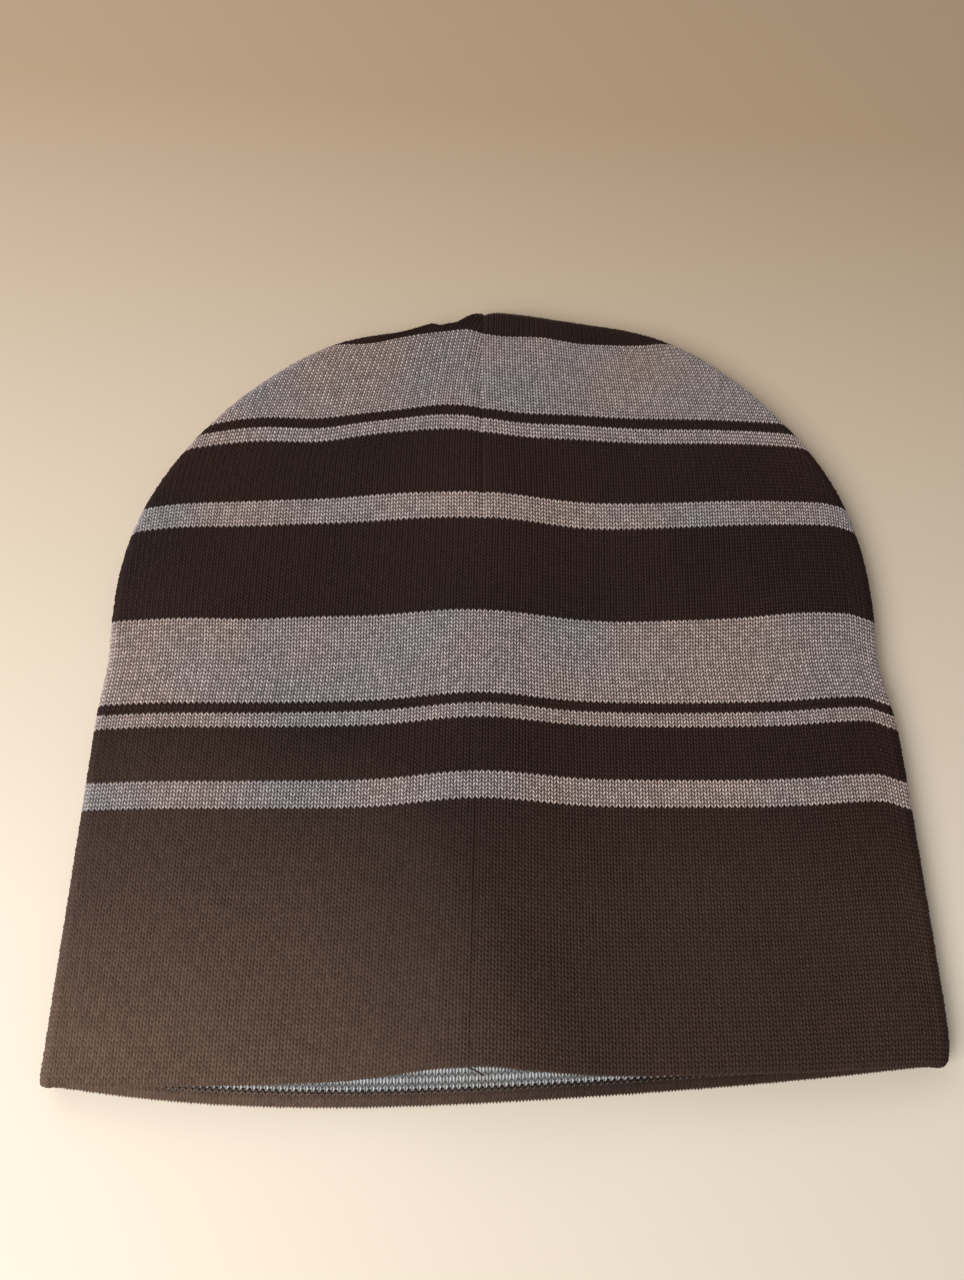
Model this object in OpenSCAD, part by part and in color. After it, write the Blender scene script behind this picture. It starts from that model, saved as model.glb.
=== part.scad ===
// Knit beanie: a striped jersey hat with a lining, lying flat on a table with its mouth towards -Y.
// X runs across the mouth, Y from the mouth to the crown and Z is the thickness. The origin is under
// the middle of the hat's outline, on the table. The upper side is the rear of the hat, with its seam.
//
// Every ply follows one surface. A place on it is given by
//   h  the height above the mouth, measured along the hat
//   x  the distance from the hat's middle line, positive to the right
//   d  the depth below the hat's outermost surface, 0 on the outside
//   ply  +1 on the upper side and -1 on the side that lies on the table

/* [Outline] */
// Width across the mouth
hem_w = 222; // [200:1:240]
// Width at the shoulder, where the crown's arch begins
shoulder_w = 214.5; // [196:0.5:230]
// Height of the shoulder above the mouth
shoulder_h = 122; // [105:1:135]
// How far each side draws in at the waist just below the shoulder
waist_in = 1.8; // [0:0.1:4]
// Half height of the stretch over which the waist draws in
waist_reach_h = 11; // [6:0.5:16]
// Sideways lean of the crown's tip
apex_lean = 3; // [-6:0.5:6]

/* [Fabric] */
// Thickness of the outer fabric
outer_t = 1.3; // [1:0.05:1.6]
// Thickness of the lining
lining_t = 1.1; // [0.8:0.05:1.4]
// Air between the outer fabric and the lining
ply_gap = 0.3; // [0.25:0.05:0.6]
// Clear height inside the hat at its side folds
fold_hollow = 2; // [1.6:0.1:3]
// Height of the dark lip where the outer fabric turns in round the mouth
lip_h = 3.2; // [2.6:0.1:8]

/* [Lie] */
// Air that lifts the upper side above the side folds
loft = 4; // [3.6:0.1:8]
// How far in from a side fold the upper side reaches that height
loft_reach = 60; // [40:1:80]
// Height of the lengthwise ridge at the mouth
mouth_ridge = 6.5; // [2:0.5:12]
// Height of the same ridge at the crown
crown_ridge = 2.5; // [0:0.5:6]
// Half width of the ridge, which follows the rear seam
ridge_w = 21; // [15:1:40]
// How far the rows of the upper side bow towards the crown on the ridge, at the mouth
mouth_bow = 3.6; // [0:0.1:6]
// The same at the crown
crown_bow = 1.2; // [0:0.1:4]
// How far the lower side of the mouth stands out below the upper side
mouth_drop = 7.2; // [2:0.1:12]
// How much more it stands out on the left than on the right, as a share
mouth_skew = 0.35; // [0:0.05:0.6]
// How far the right end of the mouth sits above its middle, and the left end below it
mouth_tilt_h = 2.2; // [-5:0.1:5]
// Height over which the mouth's drop and tilt die out
mouth_fade_h = 90; // [60:1:120]

/* [Stripes] */
// Height of the dark band round the mouth
hem_band_h = 63.5; // [50:0.5:80]
// Height of the lowest grey stripe
lower_grey_h = 7.2; // [4:0.1:12]
// Height of the dark stripe above it
lower_dark_h = 14.1; // [8:0.1:20]
// Height of the lower fine grey stripe
lower_fine_grey_h = 4; // [2.2:0.1:8]
// Height of the lower fine dark stripe
lower_fine_dark_h = 2.6; // [1.5:0.1:6]
// Height of the wide grey stripe at the waist
waist_grey_h = 24.1; // [14:0.1:34]
// Height of the dark stripe at the shoulder
shoulder_dark_h = 27.5; // [24:0.1:38]
// Height of the grey stripe above the shoulder
upper_grey_h = 7.8; // [4:0.1:12]
// Height of the upper dark stripe
upper_dark_h = 18.9; // [10:0.1:28]
// Height of the upper fine grey stripe
upper_fine_grey_h = 4.9; // [2.2:0.1:8]
// Height of the upper fine dark stripe
upper_fine_dark_h = 3.2; // [1.5:0.1:6]
// Height of the wide grey stripe on the crown
crown_grey_h = 27.7; // [18:0.1:36]
// Height of the dark cap at the crown's tip
cap_h = 12.5; // [9:0.1:18]
// Clearance between one stripe and the next
stripe_gap = 0.2; // [0.1:0.05:0.4]

/* [Seams] */
// Width of a row of seam stitches
seam_w = 0.6; // [0.4:0.05:1]
// Clearance between a seam's stitches and the fabric on each side
seam_clear = 0.15; // [0.1:0.05:0.3]
// Height above the mouth at which the rear seam's stitches begin
seam_foot_h = 2.2; // [1.6:0.1:6]
// Height above the lip at which the lining's stitches begin
lining_seam_foot_h = 1.2; // [0.4:0.1:4]
// Depth of a seam's stitches below the face of the fabric
seam_sunk = 0.2; // [0.1:0.05:0.4]
// Sideways place of the rear seam at the mouth, from the middle line
rear_seam_mouth_x = -7; // [-12:0.5:12]
// Sideways place of the rear seam at the crown's tip, from the middle line
rear_seam_tip_x = -2.5; // [-4:0.5:4]
// Height of the slot left at the crown's tip for the closing stitch
tip_slot = 0.3; // [0.2:0.05:0.5]
// Half width of the closing stitch at the crown's tip
closing_half_w = 6.5; // [4:0.5:7]
// Thickness of the closing stitch
closing_t = 1.4; // [0.8:0.1:1.6]
// Depth of the closing stitch along the hat
closing_depth = 1.1; // [0.8:0.1:1.4]
// Thickness of the sewing thread's loose end
tail_d = 0.5; // [0.3:0.05:0.8]
// How far the loose end runs to the right
tail_across = 3.6; // [1:0.2:7]
// How far the loose end stands out from the mouth's edge
tail_out = 1.6; // [0.5:0.1:3]
// How far the loose end hangs down across the open mouth
tail_drop = 3.2; // [1:0.1:4.5]
// Clearance between the loose end and the mouth's edge
tail_clear = 0.2; // [0.1:0.05:0.4]

/* [Hidden] */

dark_yarn = [0.22, 0.16, 0.14];
grey_yarn = [0.54, 0.5, 0.48];
lining_yarn = [0.56, 0.55, 0.53];
dark_thread = [0.16, 0.12, 0.11];

stripe_heights = [
    hem_band_h, lower_grey_h, lower_dark_h, lower_fine_grey_h, lower_fine_dark_h, waist_grey_h,
    shoulder_dark_h, upper_grey_h, upper_dark_h, upper_fine_grey_h, upper_fine_dark_h,
    crown_grey_h, cap_h
];
stripe_count = len(stripe_heights);
// Each stripe's place in that list
hem_stripe = 0;
lower_grey = 1;
lower_dark = 2;
lower_fine_grey = 3;
lower_fine_dark = 4;
waist_stripe = 5;  // its middle level is the waist
shoulder_stripe = 6;
upper_grey = 7;  // from here up the crown is cut into four gores
upper_dark = 8;
upper_fine_grey = 9;
upper_fine_dark = 10;
crown_grey = 11;
cap_stripe = 12;
function sum_to(list, n) = n <= 0 ? 0 : list[n - 1] + sum_to(list, n - 1);
// starts[i] is the height at which stripe i begins, and starts[stripe_count] is the crown's tip
starts = [for (i = [0 : stripe_count]) sum_to(stripe_heights, i)];
tip_h = starts[stripe_count];
gore_h = starts[upper_grey];
waist_h = (starts[waist_stripe] + starts[shoulder_stripe]) / 2;

lining_d = outer_t + ply_gap;
lining_in_d = lining_d + lining_t;
edge_r = lining_in_d + fold_hollow / 2;
arch_h = tip_h - shoulder_h;
slit = seam_w + 2 * seam_clear;
lowest_y = min([for (across = [-1 : 0.02 : 1]) mouth_tilt_h * across - drop_at(across)]);
middle_y = (tip_h + lowest_y) / 2;
tip_share = 0.7;  // share of the room left at the tip that a rounded edge may take

function mix(a, b, t) = a + (b - a) * t;
function bell(x, w) = exp(-pow(x / w, 2));

// How far the mouth's lower side stands out, at a place across it from -1 to 1
function drop_at(across) = mouth_drop * (1 - across * across) * (1 - mouth_skew * across);

// Half width of the hat at height h, drawn in all round by s
function half_w(h, s) =
    h <= shoulder_h
    ? mix(hem_w, shoulder_w, h / shoulder_h) / 2 - s - waist_in * bell(h - waist_h, waist_reach_h)
    : (shoulder_w / 2 - s) * sqrt(max(0, 1 - pow((h - shoulder_h) / (arch_h - s), 2)))
        - waist_in * bell(h - waist_h, waist_reach_h);

// Distance from the outline to a place inside it: on the arch, (1 - rho) over the slope of rho,
// where rho = sqrt((x/a)^2 + (y/b)^2) is 1 on the arch's ellipse
function inset(x, h) =
    h <= shoulder_h
    ? half_w(h, 0) - abs(x)
    : let (
        a = shoulder_w / 2,
        b = arch_h,
        y = h - shoulder_h,
        drawn = waist_in * bell(h - waist_h, waist_reach_h),
        u = abs(x) + drawn,
        rho = sqrt(pow(u / a, 2) + pow(y / b, 2)))
      (1 - rho) * rho / sqrt(pow(u / (a * a), 2) + pow(y / (b * b), 2));

function middle_x(h) = apex_lean * pow(max(0, h - shoulder_h) / arch_h, 2);
function rear_seam_x(h) = mix(rear_seam_mouth_x, rear_seam_tip_x, h / tip_h);
function fade(h) = pow(max(0, 1 - h / mouth_fade_h), 2);
function lift(x, h) = 1 - pow(1 - min(1, max(0, (inset(x, h) - edge_r) / loft_reach)), 3);
function ridge(x, h) = lift(x, h) * bell(x - rear_seam_x(h), ridge_w);
function rise(x, h) =
    lift(x, h) * loft + ridge(x, h) * mix(mouth_ridge, crown_ridge, h / tip_h);

// A point of the ply's surface. Near the outline the section is a round fold of radius edge_r - d;
// split keeps the upper and lower sides apart there by half a seam's slit
function fabric_point(x, h, d, ply, split = 0) =
    let (
        r = edge_r - d,
        e = min(r, max(0, inset(x, h) - d)),
        z = mix(split, r, sqrt(1 - pow(1 - e / r, 2))),
        across = x / half_w(min(h, gore_h), 0),
        y = ply > 0
            ? ridge(x, h) * mix(mouth_bow, crown_bow, h / tip_h)
            : -fade(h) * drop_at(across))
    [
        middle_x(h) + x,
        h + y + mouth_tilt_h * fade(h) * across - middle_y,
        edge_r + ply * z + (ply > 0 ? rise(x, h) : 0)
    ];

// A step of a path round the hat is [side, ply, q, cut]. q runs from 0 on the outline to 1 at the end
// of the round fold and on to 2 at the middle, or at the seam's slit there where cut is 1
function path_x(step, h, d) =
    let (
        side = step[0],
        q = step[2],
        room = h > shoulder_h ? tip_share * max(0, tip_h - h - d) : edge_r,
        s = d + min(edge_r - d, room) * (1 - cos(90 * min(q, 1))),
        outer_x = side * half_w(h, s),
        seam_x = step[1] > 0 ? rear_seam_x(h) : 0,
        inner_x = seam_x + side * step[3] * slit / 2)
    q <= 1 ? outer_x : mix(outer_x, inner_x, q - 1);

fold_steps = [1 / 3, 2 / 3, 1];
rear_steps = [1.2, 1.42, 1.6, 1.76, 1.89, 2];
front_steps = [1.5];

function fold_and_rear(side, first) = concat(
    [for (q = concat(first, fold_steps, rear_steps)) [side, 1, q, 1]]);
function reversed(list) = [for (i = [len(list) - 1 : -1 : 0]) list[i]];

// Once round the hat, from the rear seam over the right side and under, back to the rear seam
body_path = concat(
    reversed(fold_and_rear(1, [0])),
    [for (q = concat(fold_steps, front_steps)) [1, -1, q, 0]],
    [[1, -1, 2, 0]],
    [for (q = reversed(concat(fold_steps, front_steps))) [-1, -1, q, 0]],
    fold_and_rear(-1, [0]));

// From a side seam to the rear or front seam, one path for each gore of the crown
gore_paths = [
    reversed(fold_and_rear(1, [0])),
    fold_and_rear(-1, [0]),
    [for (q = concat([0], fold_steps, front_steps, [2])) [1, -1, q, 1]],
    reversed([for (q = concat([0], fold_steps, front_steps, [2])) [-1, -1, q, 1]])
];

// A thick sheet: stations go up the hat, each a pair of [depth, height] places for its two faces
module sheet(path, stations, split = 0) {
    n = len(path);
    m = len(stations);
    points = [
        for (face = [0, 1], step = path, station = stations)
            let (
                d = station[face][0],
                h = station[face][1])
            fabric_point(path_x(step, h, d), h, d, step[1], split)
    ];
    function at(face, i, j) = (face * n + i) * m + j;
    function quad(a, b, c, d) = [[a, b, c], [a, c, d]];
    outer = [for (i = [0 : n - 2], j = [0 : m - 2])
        each quad(at(0, i, j), at(0, i, j + 1), at(0, i + 1, j + 1), at(0, i + 1, j))];
    inner = [for (i = [0 : n - 2], j = [0 : m - 2])
        each quad(at(1, i, j), at(1, i + 1, j), at(1, i + 1, j + 1), at(1, i, j + 1))];
    low_and_high = [for (i = [0 : n - 2]) each concat(
        quad(at(0, i, 0), at(0, i + 1, 0), at(1, i + 1, 0), at(1, i, 0)),
        quad(at(0, i, m - 1), at(1, i, m - 1), at(1, i + 1, m - 1), at(0, i + 1, m - 1)))];
    ends = [for (j = [0 : m - 2]) each concat(
        quad(at(0, 0, j), at(1, 0, j), at(1, 0, j + 1), at(0, 0, j + 1)),
        quad(at(0, n - 1, j), at(0, n - 1, j + 1), at(1, n - 1, j + 1), at(1, n - 1, j)))];
    polyhedron(points, concat(outer, inner, low_and_high, ends));
}

// A thread or seam: sections are rings of as many points each
module lofted(sections) {
    n = len(sections);
    m = len(sections[0]);
    function quad(a, b, c, d) = [[a, b, c], [a, c, d]];
    walls = [for (i = [0 : n - 2], j = [0 : m - 1])
        let (k = (j + 1) % m)
        each quad(i * m + j, i * m + k, (i + 1) * m + k, (i + 1) * m + j)];
    caps = [for (j = [1 : m - 2]) each [[0, j + 1, j], [(n - 1) * m, (n - 1) * m + j, (n - 1) * m + j + 1]]];
    polyhedron([for (ring = sections) each ring], concat(walls, caps));
}

// Heights at which a stripe has stations, with half a gap left at each end that meets another stripe
steps_up = [3, 1, 1, 1, 1, 2, 4, 1, 3, 1, 1, 4];
function level(i, k) = mix(starts[i], starts[i + 1], k / steps_up[i]);
function stripe_level(i, k) =
    level(i, k) + (k == 0 && i > 0 ? stripe_gap / 2 : 0) - (k == steps_up[i] ? stripe_gap / 2 : 0);
function plain_stations(i) =
    [for (k = [0 : steps_up[i]]) [[0, stripe_level(i, k)], [outer_t, stripe_level(i, k)]]];

// The tip's stations crowd towards the slot of the closing stitch, which the depth d draws in
tip_rings = 4;
function tip_level(k, d) =
    let (low = starts[cap_stripe] + stripe_gap / 2)
    mix(low, tip_h - d - tip_slot, 1 - pow(1 - k / tip_rings, 2));

// The hem's fold: a half round from the outer face to the lip's inner face
fold_angles = [0, 36, 72, 108, 144, 180];
function fold_stations() =
    let (
        centre_d = (lining_in_d) / 2,
        outer_r = lining_in_d / 2,
        inner_r = ply_gap / 2,
        crease_h = outer_r)
    concat(
        [[[lining_in_d, lip_h], [lining_d, lip_h]]],
        [for (a = reversed(fold_angles))
            [
                [centre_d - outer_r * cos(a), crease_h - outer_r * sin(a)],
                [outer_t + inner_r - inner_r * cos(a), crease_h - inner_r * sin(a)]
            ]]);

module body_stripe(i) { sheet(body_path, plain_stations(i)); }

module crown_stripe(i) {
    for (path = gore_paths) sheet(path, plain_stations(i), slit / 2);
}

module hem_band() {
    color(dark_yarn)
    sheet(body_path, concat(
        fold_stations(),
        [for (k = [1 : steps_up[hem_stripe]])
            [[0, stripe_level(hem_stripe, k)], [outer_t, stripe_level(hem_stripe, k)]]]));
}

module lower_grey_stripe() { color(grey_yarn) body_stripe(lower_grey); }
module lower_dark_stripe() { color(dark_yarn) body_stripe(lower_dark); }
module lower_fine_grey_stripe() { color(grey_yarn) body_stripe(lower_fine_grey); }
module lower_fine_dark_stripe() { color(dark_yarn) body_stripe(lower_fine_dark); }
module waist_grey_stripe() { color(grey_yarn) body_stripe(waist_stripe); }
module shoulder_dark_stripe() { color(dark_yarn) body_stripe(shoulder_stripe); }
module upper_grey_stripe() { color(grey_yarn) crown_stripe(upper_grey); }
module upper_dark_stripe() { color(dark_yarn) crown_stripe(upper_dark); }
module upper_fine_grey_stripe() { color(grey_yarn) crown_stripe(upper_fine_grey); }
module upper_fine_dark_stripe() { color(dark_yarn) crown_stripe(upper_fine_dark); }
module crown_grey_stripe() { color(grey_yarn) crown_stripe(crown_grey); }

module crown_cap() {
    color(dark_yarn)
    for (path = gore_paths)
        sheet(path, [for (k = [0 : tip_rings]) [[0, tip_level(k, 0)], [outer_t, tip_level(k, outer_t)]]],
            slit / 2);
}

// The lining keeps to levels that the stripes have too, so that the two plies stay nested
lining_body_levels = [
    lip_h + stripe_gap, level(hem_stripe, 1), starts[lower_grey], starts[waist_stripe], waist_h,
    starts[shoulder_stripe], level(shoulder_stripe, 2), gore_h - stripe_gap / 2
];
lining_crown_levels = [
    gore_h + stripe_gap / 2, level(upper_dark, 1), starts[upper_fine_grey], starts[crown_grey],
    level(crown_grey, 2), starts[cap_stripe]
];

module lining_body() {
    color(lining_yarn)
    sheet(body_path, [for (h = lining_body_levels) [[lining_d, h], [lining_in_d, h]]]);
}

module lining_crown() {
    color(lining_yarn)
    for (path = gore_paths)
        sheet(path, concat(
            [for (h = lining_crown_levels) [[lining_d, h], [lining_in_d, h]]],
            [for (k = [1 : tip_rings])
                [[lining_d, tip_level(k, lining_d)], [lining_in_d, tip_level(k, lining_in_d)]]]),
            slit / 2);
}

// A row of stitches up the middle of the upper or lower side, between two depths
function seam_section(h, d0, d1, ply) =
    let (x = ply > 0 ? rear_seam_x(h) : 0)
    [
        fabric_point(x - seam_w / 2, h, d0, ply), fabric_point(x - seam_w / 2, h, d1, ply),
        fabric_point(x + seam_w / 2, h, d1, ply), fabric_point(x + seam_w / 2, h, d0, ply)
    ];
module middle_seam(levels, d0, d1, ply) {
    rings = [for (h = levels) seam_section(h, d0, d1, ply)];
    lofted(ply > 0 ? rings : reversed(rings));
}

// A row of stitches along the arch of one side of the crown, from the gore's foot to the tip
side_rings = 10;
tip_angle = 86;
module side_seam(side, d0, d1) {
    foot_angle = asin((gore_h - shoulder_h + stripe_gap) / (arch_h - d1));
    rings = [for (k = [0 : side_rings])
        let (angle = mix(foot_angle, tip_angle, k / side_rings))
        [for (corner = [[d0, -1], [d0, 1], [d1, 1], [d1, -1]])
            let (
                s = corner[0],
                h = shoulder_h + (arch_h - s) * sin(angle),
                x = (shoulder_w / 2 - s) * cos(angle)
                    - waist_in * bell(h - waist_h, waist_reach_h))
            [middle_x(h) + side * x, h - middle_y, edge_r + corner[1] * seam_w / 2]]];
    lofted(side > 0 ? rings : reversed(rings));
}

seam_top_d = seam_sunk;
seam_low_d = outer_t - seam_sunk;
lining_seam_top_d = lining_d + seam_sunk;
lining_seam_low_d = lining_in_d - seam_sunk;
body_seam_levels = concat(
    [seam_foot_h, level(hem_stripe, 1), level(hem_stripe, 2)],
    [for (i = [lower_grey : waist_stripe]) starts[i]],
    [waist_h, starts[shoulder_stripe], level(shoulder_stripe, 2), gore_h - stripe_gap]);
lining_seam_levels = concat(
    [lip_h + lining_seam_foot_h],
    [for (i = [1 : len(lining_body_levels) - 1]) lining_body_levels[i]]);
function crown_seam_levels(d) = concat(
    [gore_h + stripe_gap],
    [for (i = [upper_dark : cap_stripe]) starts[i]],
    [for (k = [1 : tip_rings]) tip_level(k, d)]);

module rear_seam() {
    color(dark_thread)
    middle_seam(body_seam_levels, seam_top_d, seam_low_d, 1);
}

module lining_rear_seam() {
    color(dark_thread)
    middle_seam(lining_seam_levels, lining_seam_top_d, lining_seam_low_d, 1);
}

module crown_rear_seam() {
    color(dark_thread)
    middle_seam(crown_seam_levels(outer_t), seam_top_d, seam_low_d, 1);
}

module crown_front_seam() {
    color(dark_thread)
    middle_seam(crown_seam_levels(outer_t), seam_top_d, seam_low_d, -1);
}

module crown_side_seams() {
    color(dark_thread)
    for (side = [-1, 1]) side_seam(side, seam_top_d, seam_low_d);
}

module lining_crown_seams() {
    color(dark_thread) {
        for (ply = [-1, 1])
            middle_seam(crown_seam_levels(lining_in_d), lining_seam_top_d, lining_seam_low_d, ply);
        for (side = [-1, 1]) side_seam(side, lining_seam_top_d, lining_seam_low_d);
    }
}

// A flat bar of stitches that closes the tip, where the four crown seams meet
closing_taper = 0.9;  // how much of its thickness the bar loses towards its ends, squared
module crown_closing_stitch() {
    sections = [for (t = [-1, -0.8, -0.45, 0, 0.45, 0.8, 1])
        let (
            swell = sqrt(1 - closing_taper * t * t),
            x = closing_half_w * t,
            y = tip_h - tip_slot - middle_y - closing_depth * t * t / 4)
        [for (a = [0 : 60 : 300])
            [
                middle_x(tip_h) + x,
                y - closing_depth / 2 + closing_depth / 2 * swell * cos(a),
                edge_r + closing_t / 2 * swell * sin(a)
            ]]];
    color(dark_thread) lofted(reversed(sections));
}

// The loose end of the rear seam's thread, hanging across the open mouth
module thread_tail() {
    root = fabric_point(rear_seam_x(0), 0, lining_in_d / 2, 1);
    start = root - [0, tail_clear + tail_d, 0];
    // straight to the right and outwards, with a fall that steepens
    route = [for (t = [0, 0.25, 0.5, 0.75, 1])
        start + [tail_across * t, -tail_out * t, -tail_drop * mix(t, t * t, 0.4)]];
    color(dark_thread)
    lofted([for (p = route) [for (a = [300 : -60 : 0])
        p + tail_d / 2 * [0, cos(a), sin(a)]]]);
}

hem_band();
lower_grey_stripe();
lower_dark_stripe();
lower_fine_grey_stripe();
lower_fine_dark_stripe();
waist_grey_stripe();
shoulder_dark_stripe();
upper_grey_stripe();
upper_dark_stripe();
upper_fine_grey_stripe();
upper_fine_dark_stripe();
crown_grey_stripe();
crown_cap();
lining_body();
lining_crown();
rear_seam();
lining_rear_seam();
crown_rear_seam();
crown_front_seam();
crown_side_seams();
lining_crown_seams();
crown_closing_stitch();
thread_tail();
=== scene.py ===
import math

import bpy
import numpy as np
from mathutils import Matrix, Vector


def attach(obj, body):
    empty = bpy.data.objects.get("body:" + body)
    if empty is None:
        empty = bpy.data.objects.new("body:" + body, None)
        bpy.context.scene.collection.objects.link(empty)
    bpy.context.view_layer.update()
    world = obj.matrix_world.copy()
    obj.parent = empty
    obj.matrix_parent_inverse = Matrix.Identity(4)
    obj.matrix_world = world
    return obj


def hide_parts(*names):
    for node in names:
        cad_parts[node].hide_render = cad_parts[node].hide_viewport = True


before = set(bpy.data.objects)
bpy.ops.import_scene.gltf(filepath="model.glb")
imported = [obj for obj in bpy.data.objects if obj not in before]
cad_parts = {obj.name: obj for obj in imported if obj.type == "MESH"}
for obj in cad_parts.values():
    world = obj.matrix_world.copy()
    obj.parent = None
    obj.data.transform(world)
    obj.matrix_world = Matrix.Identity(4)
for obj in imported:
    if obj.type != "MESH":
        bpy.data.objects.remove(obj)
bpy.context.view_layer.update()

# All lengths are millimetres until a mesh is made; x runs across the hat, y up the hat, z off the table.
hatForm = {
    "hemWidth": 222.0,
    "shoulderWidth": 214.5,
    "shoulderHeight": 122.0,
    "archHeight": 96.0,
    "waistIn": 1.8,
    "waistHeight": 103.45,
    "waistReach": 11.0,
    "apexLean": 3.0,      # how far the tip leans to the right
    "edgeRadius": 3.7,    # of the fold along the outline
    "loft": 4.0,          # the upper side's swell over the fold
    "loftReach": 60.0,
    "mouthRidge": 6.5,    # the lengthwise ridge over the rear seam
    "crownRidge": 2.5,
    "ridgeWidth": 21.0,
    "mouthBow": 3.6,      # how far the ridge bows the rows towards the crown
    "crownBow": 1.2,
    "mouthDrop": 7.2,     # how far the under side's mouth edge sags past the upper one
    "mouthSkew": 0.35,
    "mouthTilt": 2.2,
    "mouthFade": 90.0,
    "goreFoot": 143.0,    # the height where the crown's seams start
    "seamAtMouth": -7.0,
    "seamAtTip": -2.5,
}
tipHeight = hatForm["shoulderHeight"] + hatForm["archHeight"]
# what a quarter turn round the fold takes beyond the flat fabric that would reach its outline
foldSpare = (math.pi / 2 - 1) * hatForm["edgeRadius"]


def bell(x, width):
    # e to the power of minus the square of x over width
    return np.exp(-(x / width) ** 2)


def mix(a, b, t):
    # a at t = 0, b at t = 1, straight between
    return a + (b - a) * t


def smooth(low, high, x):
    # 0 below low, 1 above high, and 3t^2 - 2t^3 between
    t = np.clip((x - low) / (high - low), 0, 1)
    return t * t * (3 - 2 * t)


def mouthDropAt(across):
    # a parabola across the hat, deepest left of the middle
    f = hatForm
    return f["mouthDrop"] * (1 - across ** 2) * (1 - f["mouthSkew"] * across)


acrossSteps = np.linspace(-1, 1, 101)
lowestY = float(np.min(hatForm["mouthTilt"] * acrossSteps - mouthDropAt(acrossSteps)))
middleY = (tipHeight + lowestY) / 2


def drawnIn(h):
    # the slight waist, a bell over the height
    return hatForm["waistIn"] * bell(h - hatForm["waistHeight"], hatForm["waistReach"])


def halfWidth(h):
    # a straight taper up to the shoulder, a quarter ellipse above it, less the waist
    f = hatForm
    low = mix(f["hemWidth"], f["shoulderWidth"], h / f["shoulderHeight"]) / 2
    up = np.clip((h - f["shoulderHeight"]) / f["archHeight"], 0, 1)
    high = f["shoulderWidth"] / 2 * np.sqrt(1 - up ** 2)
    return np.where(h <= f["shoulderHeight"], low, high) - drawnIn(h)


def insetAndWay(x, h):
    # distance inside the outline, and the way straight out of it: level in the body, and in
    # the crown the ellipse's (1 - rho) rho over the length of its slope
    f = hatForm
    a, b = f["shoulderWidth"] / 2, f["archHeight"]
    y = h - f["shoulderHeight"]
    u = np.abs(x) + drawnIn(h)
    rho = np.sqrt((u / a) ** 2 + (y / b) ** 2)
    slope = np.sqrt((u / a ** 2) ** 2 + (y / b ** 2) ** 2)
    body = y <= 0
    inset = np.where(body, halfWidth(h) - np.abs(x), (1 - rho) * rho / slope)
    side = np.where(x < 0, -1.0, 1.0)
    wayX = np.where(body, side, side * u / a ** 2 / slope)
    wayY = np.where(body, 0.0, y / b ** 2 / slope)
    return inset, wayX, wayY


def middleX(h):
    # the tip leans to one side as the square of the height over the shoulder
    up = np.maximum(0, h - hatForm["shoulderHeight"]) / hatForm["archHeight"]
    return hatForm["apexLean"] * up ** 2


def seamX(h):
    # the rear seam runs straight from the mouth to the tip
    return mix(hatForm["seamAtMouth"], hatForm["seamAtTip"], h / tipHeight)


def mouthFadeAt(h):
    # 1 at the mouth, 0 from mouthFade up, as a square
    return np.maximum(0, 1 - h / hatForm["mouthFade"]) ** 2


def ridgeAt(x, h, inset):
    # the loft's swell times a bell about the rear seam
    f = hatForm
    lift = 1 - (1 - np.clip((inset - f["edgeRadius"]) / f["loftReach"], 0, 1)) ** 3
    return lift, lift * bell(x - seamX(h), f["ridgeWidth"])


# Where the relaxed fabric has crept. Each pull on the rows is a bell about a place of the upper
# side: its x and its width, its height and its reach up the hat, and the amount it moves them.
settled = {
    "rows": (
        (-8, 24, 75, 45, -1.2),
        (-6, 14, 135, 30, -1.1),
        (30, 34, 135, 38, -2.4),
        (55, 20, 172, 18, -0.8),
        (6, 12, 178, 22, -1.6),
        (-30, 15, 165, 22, 1.6),
        (-18, 11, 178, 12, 1.0),
        (-53, 12, 176, 14, -1.5),
        (-68, 16, 125, 35, -1.0),
        (100, 18, 85, 65, 2.0),
        (82, 14, 118, 20, 0.9),
        (-24, 18, 207, 14, 4.6),
        (45, 10, 205, 10, -1.6),
        (-7, 6, 206, 6, 1.4),
        (14, 8, 206, 7, 1.4),
        (-62, 20, 175, 9, 0.6),
    ),
    "foldReach": 9,                 # the rows' pulls grow from the fold over this distance
    # the top edge of both sides: places across, widths and amounts; a narrow one is a notch
    "topEdge": ((-29, 16, -3.6), (23, 18, -2.2), (-17, 2.2, -1.2), (-12.2, 4.2, -2.3)),
    "topFrom": 168,
    "topBelowTip": 3,
    "notchWidth": 5,
    "notchHeights": (207, 214),
    # the tip's seam is pulled across: amount, place and width, from this height up
    "seamPull": (-3.6, -3, 25),
    "seamPullFrom": 140,
    # the sides: a steady amount, then an amount, a height and a reach for each curve
    "rightIn": 0.6,
    "rightWaist": (1.5, 128, 30),
    "rightCrown": (1.4, 180, 22),
    "leftIn": 0.4,
    "leftWaist": (-1.0, 103, 13),
    "leftCrown": (0.7, 180, 22),
    "sideTop": 196,
    "sidePower": 4,
    "cornerIn": 2.0,
    "cornerFade": 4,
    # the under side's mouth edge is lifted: amount, fading height, place and width
    "lipLift": 1.2,
    "lipFade": 14,
    "lipPlace": 12,
    "lipWidth": 62,
}


def curveAt(h, amount, height, reach):
    # a bell over the height
    return amount * bell(h - height, reach)


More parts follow.
